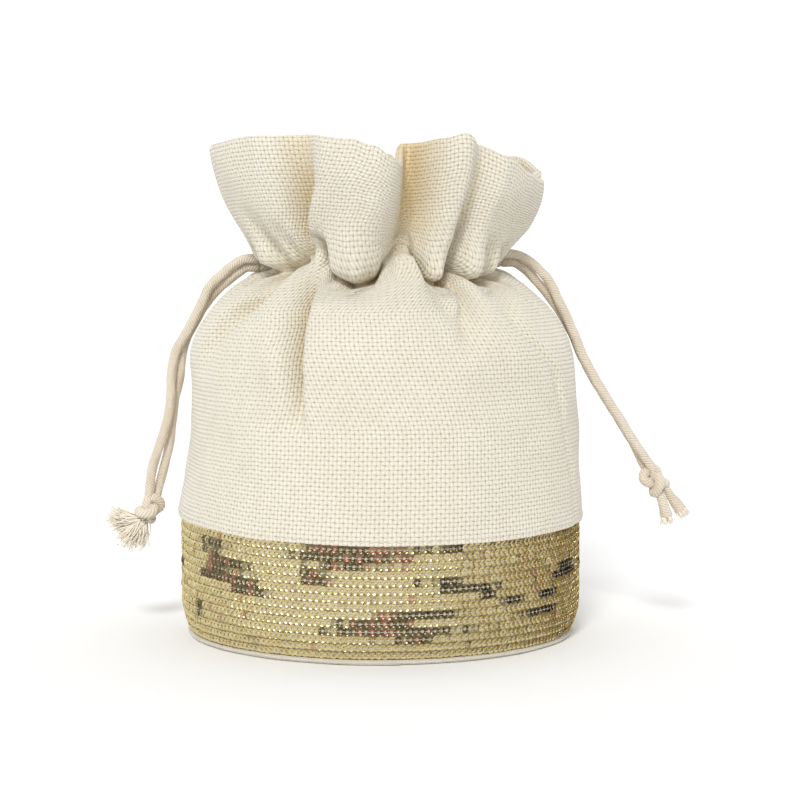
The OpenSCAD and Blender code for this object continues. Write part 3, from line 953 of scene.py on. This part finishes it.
def cloth_grid():
    """The gathered tube of canvas: rows from the hem to the rim, columns round from the left
    seam, evenly spaced along the cloth of each panel."""
    lengths, heights, tie = cloth_rows()
    half = FINE_ANGLES // 2
    rows = []
    for z, length in zip(heights, lengths):
        points = cloth_row(z, length, tie)
        front = resample(points[:half + 1], PANEL_COLUMNS)
        back = resample(points[half:], PANEL_COLUMNS)
        rows.append(np.vstack([front[:-1], back[:-1]]))
    grid = np.array(rows)
    for _ in range(2):
        inner = (grid[:-2] + 2 * grid[1:-1] + grid[2:]) / 4
        grid = np.concatenate([grid[:1], inner, grid[-1:]])
    return grid, lengths


# ---------------------------------------------------------------- canvas pieces

# The rolled rim: its outer radius, the steps round it, and how far down inside it goes on.
ROLL_R = 1.5 * MM
ROLL_STEPS = 8
ROLL_DROPS = np.array([0.8, 1.8]) * MM
# The facing: its clear radius at the neck, its thickness, its small gathers, and the heights
# above the neck between which it joins the folds.
FACING_THROAT_R = 32.4 * MM
FACING_T = 1.0 * MM
GATHERS = 36
GATHER_DEPTH = 2.5 * MM
FACING_JOIN = (8 * MM, 35 * MM)
# The seam edges: how deep they tuck in, and over what width.
SEAM_TUCK = 0.9 * MM
TUCK_SPREAD = 1.3 * MM
# The slits that the cords come out of: how far each edge parts, how high, and over what width.
SLIT_HALF_Y = 3.4 * MM
SLIT_HALF_Z = 5.2 * MM
SLIT_SPREAD = 4.5 * MM
# The warm painted fold shade starts at the first depth behind the smooth outline, and is strongest at
# the second.
FOLD_SHADE_START = 3 * MM
FOLD_SHADE_DEEPEST = 24 * MM
# Painted fold shade laid evenly over the facing and the seam allowances, inside the sack.
FACING_FOLD_SHADE = 0.5
ALLOWANCE_FOLD_SHADE = 0.3
# The strip of a seam allowance: its flat width, the columns of cloth to each side of the seam, and
# how far inside the panels its two faces lie.
ALLOWANCE_WIDTH = 14 * MM
ALLOWANCE_COLUMNS = 8
ALLOWANCE_FACES = (2.3 * MM, 2.9 * MM)


def grid_normals(grid, closed):
    """Outward normals of a grid of rows from low to high and columns from left to right."""
    if closed:
        across = np.roll(grid, -1, axis=1) - np.roll(grid, 1, axis=1)
    else:
        across = np.gradient(grid, axis=1)
    up = np.gradient(grid, axis=0)
    normals = np.cross(across, up)
    return normals / np.maximum(np.linalg.norm(normals, axis=2), 1e-9)[:, :, None]


def cloth_shell(name, outer, inner, width, lengths):
    """A closed skin of cloth between two grids, with its flat size in metres as UV."""
    rows, columns = outer.shape[:2]
    points = np.vstack([outer.reshape(-1, 3), inner.reshape(-1, 3)])
    back = rows * columns
    faces = []
    for i in range(rows - 1):
        for k in range(columns - 1):
            a = i * columns + k
            quad = (a, a + 1, a + 1 + columns, a + columns)
            faces.append(quad)
            faces.append(tuple(back + v for v in reversed(quad)))
    edge = list(range(columns))
    edge += [i * columns + columns - 1 for i in range(1, rows)]
    edge += [(rows - 1) * columns + k for k in range(columns - 2, -1, -1)]
    edge += [i * columns for i in range(rows - 2, 0, -1)]
    for a, b in zip(edge, edge[1:] + edge[:1]):
        faces.append((b, a, a + back, b + back))
    piece = new_object(name, points, faces)
    piece.data.set_sharp_from_angle(angle=math.radians(55))
    u = np.tile(np.linspace(-width / 2, width / 2, columns), rows)
    v = np.repeat(lengths, columns)
    set_uv(piece, "cloth", np.tile(np.stack([u, v], axis=1), (2, 1)))
    return piece


def over_the_rim(panel, normals, radius):
    """Rows of points that go on over a panel's rim, round a roll and a little way down inside."""
    out = normals[-2]
    up = panel[-1] - panel[-2]
    up /= np.linalg.norm(up, axis=1)[:, None]
    centre = panel[-1] - ROLL_R * out
    rows = [centre + radius * (math.cos(t) * out + math.sin(t) * up)
            for t in np.linspace(0, math.pi, ROLL_STEPS + 1)[1:]]
    rows += [rows[-1] - drop * up for drop in ROLL_DROPS]
    return np.array(rows)


def rolled_panel(panel, normals, lengths):
    """Both faces of a panel with its rolled rim, and the lengths up its rows."""
    outer = np.concatenate([panel, over_the_rim(panel, normals, ROLL_R)])
    inner = np.concatenate([panel - CANVAS_T * normals,
                            over_the_rim(panel, normals, ROLL_R - CANVAS_T)])
    steps = [ROLL_R * math.pi / ROLL_STEPS] * ROLL_STEPS + list(np.diff(ROLL_DROPS, prepend=0))
    return outer, inner, np.concatenate([lengths, lengths[-1] + np.cumsum(steps)])


def open_slit(panel, front):
    """Tuck the seam edges in, and part them round the cords."""
    panel = panel.copy()
    # The front's first edge is at the left seam, and the back's first edge at the right seam.
    levels = (SLIT_LEFT_Z, SLIT_RIGHT_Z) if front else (SLIT_RIGHT_Z, SLIT_LEFT_Z)
    for column, level in zip((0, -1), levels):
        edge = panel[:, column].copy()
        away = np.linalg.norm(panel - edge[:, None], axis=2)
        part = bell((panel[:, :, 2] - level) / SLIT_HALF_Z) * bell(away / SLIT_SPREAD)
        panel[:, :, 1] += (-1 if front else 1) * SLIT_HALF_Y * part
        tuck = bell(away / TUCK_SPREAD)
        radius = np.hypot(panel[:, :, 0], panel[:, :, 1])
        panel[:, :, :2] *= (1 - SEAM_TUCK * tuck / radius)[:, :, None]
    return panel


def set_fold_shade(piece, amount):
    """Store how much painted fold shade each point of a shell gets, from 0 to 1, as the attribute
    "fold".
    """
    set_attribute(piece, "fold", np.tile(np.clip(amount, 0, 1).ravel(), 2))


def fold_shade_amount(grid):
    """How far the cloth lies behind its smooth outline, as a share of the deepest fold: the amount of
    painted fold shade.
    """
    level = np.clip(grid[:, :, 2], HEM_Z, RIM_Z)
    behind = outline_radius(level) - np.hypot(grid[:, :, 0], grid[:, :, 1])
    return (behind - FOLD_SHADE_START) / (FOLD_SHADE_DEEPEST - FOLD_SHADE_START)


def add_panel(node, grid, lengths, front, material):
    """The front or the back panel, from its hem up to its rolled rim."""
    panel = open_slit(grid, front)
    outer, inner, long = rolled_panel(panel, grid_normals(panel, False), lengths)
    piece = cloth_shell(node + "_cloth", outer, inner, PANEL_WIDTH, long)
    set_fold_shade(piece, fold_shade_amount(outer))
    dress(piece, material, "canvas", "sack", node)


def add_facing(grid, normals, lengths, material):
    """The canvas turned in at the rim: it follows the folds there and is gathered below."""
    base = grid[:, :, 2].mean(axis=1)
    first = int(np.searchsorted(base, FACING_LOW_Z))
    closed = np.concatenate([grid, grid[:, :1]], axis=1)[first:-1]
    out = np.concatenate([normals, normals[:, :1]], axis=1)[first:-1]
    join_low, join_high = FACING_JOIN
    level = (base[first:-1] - NECK_Z - join_low) / (join_high - join_low)
    follow = smoothstep(level)[:, None, None]
    angle = np.arctan2(closed[:, :, 0], -closed[:, :, 1])
    gathers = GATHER_DEPTH * np.sin(GATHERS * angle + 1.5 * np.sin(3 * angle))
    throat_r = FACING_THROAT_R - GATHER_DEPTH + gathers
    throat = around_axis(throat_r, angle, closed[:, :, 2])
    folded = closed - (2 * ROLL_R - FACING_T) * out
    outer = folded * follow + throat * (1 - follow)
    inner_throat = around_axis(throat_r - FACING_T, angle, closed[:, :, 2])
    inner = (closed - 2 * ROLL_R * out) * follow + inner_throat * (1 - follow)
    piece = cloth_shell("mouth_facing_cloth", outer, inner, 2 * PANEL_WIDTH, lengths[first:-1])
    set_fold_shade(piece, np.full(outer.shape[:2], FACING_FOLD_SHADE))
    dress(piece, material, "canvas", "sack", "mouth_facing")
    round(2 * PANEL_WIDTH, 4)


def add_seam_allowance(node, grid, normals, column, lengths, material):
    """The two panel edges pressed flat behind a seam, as one strip inside the sack."""
    low = int(np.searchsorted(lengths, 6 * MM))
    high = int(np.searchsorted(grid[:, 0, 2], NECK_Z - 14 * MM))
    beside = range(-ALLOWANCE_COLUMNS, ALLOWANCE_COLUMNS + 1)
    columns = [(column + k) % grid.shape[1] for k in beside]
    strip = grid[low:high][:, columns]
    out = normals[low:high][:, columns]
    outer, inner = (strip - depth * out for depth in ALLOWANCE_FACES)
    piece = cloth_shell(node + "_cloth", outer, inner, ALLOWANCE_WIDTH, lengths[low:high])
    set_fold_shade(piece, np.full(strip.shape[:2], ALLOWANCE_FOLD_SHADE))
    dress(piece, material, "canvas", "sack", node)


def stitch_points(path, normals, length=3.3 * MM, gap=0.4 * MM, radius=0.27 * MM, lift=0.12 * MM):
    """Vertices and faces of separate stitches laid along a closed path."""
    closed = np.vstack([path, path[:1]])
    along = lengths_along(closed)
    out = np.vstack([normals, normals[:1]])
    count = int(along[-1] // (length + gap))
    pitch = along[-1] / count
    sides, rings = 6, 7
    turn = FULL_TURN * np.arange(sides) / sides
    vertices, faces = [], []
    for i in range(count):
        at = i * pitch + np.linspace(0, pitch - gap, rings)
        spine = points_at(at, along, closed)
        normal = points_at(at, along, out)
        normal /= np.linalg.norm(normal, axis=1)[:, None]
        bow = np.sin(np.linspace(0, math.pi, rings))
        spine = spine + normal * ((lift + 0.5 * radius) * bow - 0.6 * radius)[:, None]
        tangent = np.gradient(spine, axis=0)
        tangent /= np.linalg.norm(tangent, axis=1)[:, None]
        side = np.cross(tangent, normal)
        thick = radius * np.sqrt(np.maximum(bow, 0.15))
        ring = ring_directions(turn, normal, side)
        faces += tube_faces(rings, sides, len(vertices))
        vertices.extend((spine[:, None] + thick[:, None, None] * ring).reshape(-1, 3))
    return vertices, faces


def add_stitches(name, nodes, path, normals, material, **kind):
    """One sewn line of separate stitches."""
    vertices, faces = stitch_points(path, normals, **kind)
    dress(new_object(name, vertices, faces), material, "thread", "sack", *nodes)


def level_row(grid, z):
    """The row of the cloth whose mean height is nearest to a height."""
    return int(np.argmin(np.abs(grid[:, :, 2].mean(axis=1) - z)))


def add_canvas():
    """The two panels, the facing, the seam allowances and the stitch lines through them."""
    canvas = woven_material("canvas_weave", CANVAS_CELL, CANVAS_COLORS, 0.42 * MM,
                            fold_shade_color=CANVAS_FOLD_SHADE)
    thread = thread_material("sewing_thread", THREAD_LIGHT, THREAD_SHADE)
    grid, lengths = cloth_grid()
    normals = grid_normals(grid, True)
    front = grid[:, :PANEL_COLUMNS + 1]
    back = np.concatenate([grid[:, PANEL_COLUMNS:], grid[:, :1]], axis=1)
    add_panel("front_panel", front, lengths, True, canvas)
    add_panel("back_panel", back, lengths, False, canvas)
    add_facing(grid, normals, lengths, canvas)
    add_seam_allowance("left_seam_allowance", grid, normals, 0, lengths, canvas)
    add_seam_allowance("right_seam_allowance", grid, normals, PANEL_COLUMNS, lengths, canvas)
    for node, z in (("hem_topstitch", HEM_STITCH_Z), ("lower_channel_stitch", STITCH_LOW_Z),
                    ("upper_channel_stitch", STITCH_HIGH_Z)):
        row = level_row(grid, z)
        add_stitches(node + "_thread", [node], grid[row], normals[row], thread)


# ---------------------------------------------------------------- the sequin band and the base

SEQUIN_R = 1.6 * MM
SEQUIN_HOLE_R = 0.66 * MM
SEQUIN_PITCH = 2.42 * MM
SEQUIN_ROWS = 14
# How far a disc turns over the next, and how deep its middle and its thread lie in the band.
SCALE_TILT = math.radians(7)
DISC_DEPTH = 0.55 * MM
THREAD_DEPTH = 0.35 * MM
FOOT_H = 15 * MM
FOOT_TUCK = 4.5 * MM
# Patches of painted dark reflection, where the discs are also turned away a little further: degrees,
# height, half width in degrees, half height in mm, and how dark.
DARK_REFLECTION_PATCHES = [
    (-54, 43, 6, 1.6, 0.8), (-51, 39.5, 9, 1.8, 1.0), (-46, 35.6, 13, 1.8, 1.0),
    (-45, 32.5, 12, 1.8, 1.0), (-44, 29.5, 12, 1.8, 1.0), (-37, 26.5, 8, 1.8, 1.0),
    (-7, 44.6, 16, 2.0, 0.9), (-8, 42, 21, 1.9, 1.0), (-3, 39.4, 16, 1.9, 1.0),
    (-9.5, 36.6, 12, 1.8, 1.0), (-16.5, 33.6, 7, 1.8, 1.0), (-18, 31, 5, 1.6, 0.9),
    (10.5, 19.8, 18, 1.9, 1.0), (-1, 16.7, 12, 1.9, 1.0), (6, 13.4, 17, 1.9, 1.0),
    (5.5, 9.8, 11, 1.9, 1.0), (10.5, 32, 2.6, 2, 1.0), (19.5, 44, 3.5, 2, 1.0),
    (19, 32, 4, 2, 1.0), (22, 29.4, 5, 2, 1.0), (31, 26, 4, 2.6, 1.0), (38.5, 21.5, 5, 2.4, 1.0),
    (50, 16, 9, 2.6, 1.0), (54, 23, 4, 2, 0.9), (65, 30, 7, 3, 0.9), (-61, 15, 2.5, 3, 1.0),
    (-84, 30, 9, 9, 0.8), (100, 30, 18, 6, 0.9), (140, 20, 20, 5, 0.9), (172, 33, 15, 5, 0.8),
    (-150, 14, 18, 5, 0.9), (-118, 34, 16, 5, 0.9),
]


def band_radius(z):
    """Outer radius of the sequin band at a height: upright, and drawn in at the foot."""
    below = np.clip(1 - z / FOOT_H, 0, 1)
    return BAND_R - FOOT_TUCK * below ** 2


def tilt_and_painted_reflection_at(degrees, z, rng):
    """How much painted dark reflection each disc gets, which also turns it away: the patches, torn
    along the rows, plus stray dark discs.
    """
    amount = np.zeros_like(degrees)
    for middle, height, half_width, half_height, strength in DARK_REFLECTION_PATCHES:
        x = ((degrees - middle + 180) % 360 - 180) / half_width
        y = (z / MM - height) / half_height
        amount = np.maximum(amount, strength * np.exp(-(x * x + y * y) ** 1.3))
    row_tear = rng.normal(0, 0.16) + 0.22 * np.sin(np.radians(degrees) * rng.integers(7, 15)
                                                 + rng.uniform(0, FULL_TURN))
    single = rng.normal(0, 0.16, degrees.shape)
    return np.clip((amount + row_tear * (amount > 0.12) + single - 0.30) * 2.6, 0, 1)


def sequin_shape(segments=12):
    """One cupped disc with a hole, facing +X: points by ring, and the faces between rings."""
    rings = [(SEQUIN_HOLE_R, 0.03), (SEQUIN_HOLE_R * 1.3, 0.0), (SEQUIN_R * 0.74, 0.04),
             (SEQUIN_R, 0.34), (SEQUIN_R, 0.26), (SEQUIN_R * 0.74, -0.04), (SEQUIN_HOLE_R, -0.07)]
    turn = FULL_TURN * np.arange(segments) / segments
    points = np.array([[height * MM, r * math.cos(t), r * math.sin(t)]
                       for r, height in rings for t in turn])
    # The last ring joins the first again, round the rim of the hole.
    faces = np.array(band_faces(len(rings) + 1, segments)) % len(points)
    return points, faces


def add_sequin_row(row, low_z, high_z, material):
    """One sewn row of discs. Each overlaps the next like a scale. Gives the line of its thread."""
    rng = np.random.default_rng(RNG_SEED + 100 + row)
    template, faces = sequin_shape()
    z = (low_z + high_z) / 2
    radius = float(band_radius(z))
    slope = math.atan2(float(band_radius(high_z) - band_radius(low_z)), high_z - low_z)
    count = int(round(FULL_TURN * radius / SEQUIN_PITCH))
    around = (np.arange(count) + rng.uniform(0, 1)) * FULL_TURN / count
    around += rng.normal(0, 0.05, count) * FULL_TURN / count
    degrees = (np.degrees(around) + 270) % 360 - 180
    # Painted reflection: how dark brown each disc is, and a copper tint on a few, most of them in the
    # dark patches left of 12 degrees.
    tilt_and_painted_reflection = tilt_and_painted_reflection_at(degrees, z, rng)
    painted_copper_reflection = np.where(rng.random(count) < 0.015 + 0.2 * (tilt_and_painted_reflection > 0.25) * (degrees < 12), 0.7, 0.0)
    painted_copper_reflection = painted_copper_reflection * rng.uniform(0.4, 1, count)
    scale_tilt = SCALE_TILT + rng.normal(0, math.radians(2.5), count)
    # The discs with painted dark reflection also nod a little further.
    nod = -slope + rng.normal(0, math.radians(3.5), count) + tilt_and_painted_reflection * math.radians(6)
    points = np.repeat(template[None], count, axis=0)
    x, y, h = points[:, :, 0], points[:, :, 1], points[:, :, 2]
    c, s = np.cos(scale_tilt)[:, None], np.sin(scale_tilt)[:, None]
    x, y = x * c - y * s, x * s + y * c
    c, s = np.cos(nod)[:, None], np.sin(nod)[:, None]
    x, h = x * c - h * s, x * s + h * c
    reach = radius - DISC_DEPTH + rng.normal(0, 0.05 * MM, count)[:, None] + x
    raised = z + hem_lift(degrees) * z / HEM_Z
    lift = raised[:, None] + h + rng.normal(0, 0.07 * MM, count)[:, None]
    ca, sa = np.cos(around)[:, None], np.sin(around)[:, None]
    world = np.stack([reach * ca - y * sa, reach * sa + y * ca, lift], axis=2)
    size = len(template)
    all_faces = (faces[None] + (np.arange(count) * size)[:, None, None]).reshape(-1, 4)
    piece = new_object(f"sequins_{row + 1:02d}", world.reshape(-1, 3), all_faces)
    for name, values in (("tilt_and_painted_reflection", tilt_and_painted_reflection), ("painted_copper_reflection", painted_copper_reflection)):
        set_attribute(piece, name, np.repeat(values, size))
    piece.data.set_sharp_from_angle(angle=math.radians(50))
    dress(piece, material, "sequins", "sack", f"sequin_row_{row + 1:02d}")
    return around_axis(radius - THREAD_DEPTH, QUARTER_TURN + around, raised)[::-1]


def round_grid(profile, columns, wave, seed):
    """Rows of points round the axis through (radius, height) points, with a slight waviness."""
    turn = FULL_TURN * np.arange(columns + 1) / columns
    rng = np.random.default_rng(RNG_SEED + seed)
    ripple = sum(math.cos(rng.uniform(0, FULL_TURN)) * np.sin(k * turn + rng.uniform(0, FULL_TURN))
                 for k in (3, 5, 8, 13)) / 2
    return np.array([around_axis(radius + wave * ripple, turn, z) for radius, z in profile])


def add_round_cloth(node, slot, depth, thickness, wave, material, seed):
    """A skin of cloth behind the sequins, at a depth inside the band's outside."""
    low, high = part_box(node)
    profile = np.array([(float(band_radius(z)) - depth, z) for z in np.linspace(low[2], high[2], 24)])
    outer = round_grid(profile, 240, wave, seed)
    inner = round_grid(profile - [thickness, 0], 240, wave, seed)
    width = FULL_TURN * float(profile[:, 0].max())
    piece = cloth_shell(node + "_cloth", outer, inner, width, lengths_along(profile))
    dress(piece, material, slot, "sack", node)


def add_base(material):
    """The stiffened base panel: two plies with a slight sag between them and a soft edge."""
    columns, rings = 120, 30
    turn = QUARTER_TURN + FULL_TURN * np.arange(columns) / columns
    rng = np.random.default_rng(RNG_SEED + 40)
    radii = BASE_R * np.linspace(0, 1, rings + 1)[1:]
    profile = [(r, BASE_T) for r in radii[:-1]] + [(BASE_R - 0.1 * MM, BASE_T - 0.1 * MM)]
    profile += [(BASE_R, BASE_T / 2), (BASE_R - 0.1 * MM, 0.1 * MM)]
    profile += [(r, 0) for r in radii[-2::-1]]
    points = []
    for r, z in profile:
        sag = BASE_SAG * np.sin(3 * (turn - QUARTER_TURN) + rng.uniform(0, 1)) * (z == BASE_T)
        points.append(around_axis(r, turn, z - np.abs(sag)))
    count = len(profile)
    vertices = list(np.array(points).reshape(-1, 3)) + [np.array([0, 0, BASE_T]), np.zeros(3)]
    faces = [face[::-1] for face in band_faces(count, columns)]
    top, bottom = count * columns, count * columns + 1
    faces += [(k, (k + 1) % columns, top) for k in range(columns)]
    last = (count - 1) * columns
    faces += [(last + (k + 1) % columns, last + k, bottom) for k in range(columns)]
    piece = new_object("base_cloth", vertices, faces)
    set_uv(piece, "cloth", np.array(vertices)[:, :2])
    dress(piece, material, "lining", "sack", "base_panel")


# The tape: how far it stands out, how much further its lapped end does, where it starts, how far
# it laps, and its section as (share of the thickness out, share of the height up).
TAPE_T = 2.1 * MM
TAPE_LAP_RISE = 0.9 * MM
TAPE_LAP_START = math.radians(-98)
TAPE_LAP = math.radians(13)
TAPE_IN_R = BASE_R + 0.05 * MM
TAPE_SECTION = [(0, 0.0), (0.45, 0.0), (0.8, 0.12), (0.95, 0.5), (0.9, 0.85), (0.6, 1.0), (0, 1.0)]


def add_tape(material, thread):
    """The tape round the foot: one strip whose end laps over its start, cut on a slant."""
    steps = 420
    t = np.linspace(0, 1, steps)
    turn = TAPE_LAP_START + t * (FULL_TURN + TAPE_LAP)
    over = smoothstep((t - 0.93) / 0.04)
    rng = np.random.default_rng(RNG_SEED + 60)
    wave = sum(np.sin(k * turn + rng.uniform(0, FULL_TURN)) for k in (4, 7, 11, 19)) * 0.10 * MM
    rows = []
    for out, up in TAPE_SECTION:
        slant = math.radians(1.9) * (0.5 - up) * smoothstep((t - 0.97) / 0.03)
        r = TAPE_IN_R + out * TAPE_T + over * TAPE_LAP_RISE + wave * out
        z = 0.1 * MM + up * (TAPE_TOP - 0.15 * MM) + 0.18 * MM * np.sin(5 * turn) * out * up
        rows.append(around_axis(r, QUARTER_TURN + turn + slant, np.maximum(z, 0.02 * MM)))
    points = np.array(rows).reshape(-1, 3)
    count = len(TAPE_SECTION)
    faces = [(i * steps + k, i * steps + k + 1, ((i + 1) % count) * steps + k + 1,
              ((i + 1) % count) * steps + k) for i in range(count) for k in range(steps - 1)]
    faces.append(tuple(i * steps for i in range(count)))
    faces.append(tuple(i * steps + steps - 1 for i in range(count - 1, -1, -1)))
    piece = new_object("base_tape", points, faces)
    piece.data.set_sharp_from_angle(angle=math.radians(60))
    around = np.tile(turn * BASE_R, count)
    across = np.repeat([up * TAPE_TOP + out * TAPE_T for out, up in TAPE_SECTION], steps)
    set_uv(piece, "cloth", np.stack([around, across], axis=1))
    dress(piece, material, "binding", "sack", "base_binding")
    sewn = t < 0.965
    r = TAPE_IN_R + 0.97 * TAPE_T + (over * TAPE_LAP_RISE + wave)[sewn]
    path = around_axis(r, QUARTER_TURN + turn[sewn], TAPE_TOP / 2)
    add_stitches("base_stitch_thread", ["base_stitch"], path, away_from_axis(path), thread,
                 length=2.6 * MM, radius=0.2 * MM)


def add_band():
    """The base, the lining and net behind the sequins, the 14 sewn rows, and the tape."""
    plain = woven_material("plain_lining", 0.45 * MM, LINING_COLORS, 0.15 * MM, 0.2)
    net = woven_material("sequin_net", 0.8 * MM, NET_COLORS, 0.15 * MM, 0.2)
    tape = woven_material("cotton_tape", 0.6 * MM, TAPE_COLORS, 0.2 * MM)
    thread = thread_material("sequin_thread", THREAD_LIGHT, THREAD_SHADE)
    gold = sequin_material()
    add_base(plain)
    add_round_cloth("band_lining", "lining", 1.5 * MM, 1 * MM, 0.04 * MM, plain, 31)
    add_round_cloth("band_net", "net", 1.0 * MM, 0.4 * MM, 0.03 * MM, net, 32)
    for row in range(SEQUIN_ROWS):
        low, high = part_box(f"sequin_row_{row + 1:02d}")
        path = add_sequin_row(row, low[2], high[2], gold)
        add_stitches(f"sequin_thread_{row + 1:02d}", [], path, away_from_axis(path), thread,
                     length=1.5 * MM, gap=0.92 * MM, radius=0.12 * MM, lift=0.2 * MM)
    add_tape(tape, thread)


bpy.context.scene.view_settings.view_transform = "Standard"
add_camera()
add_cords()
add_floor()
add_light()
add_canvas()
add_band()
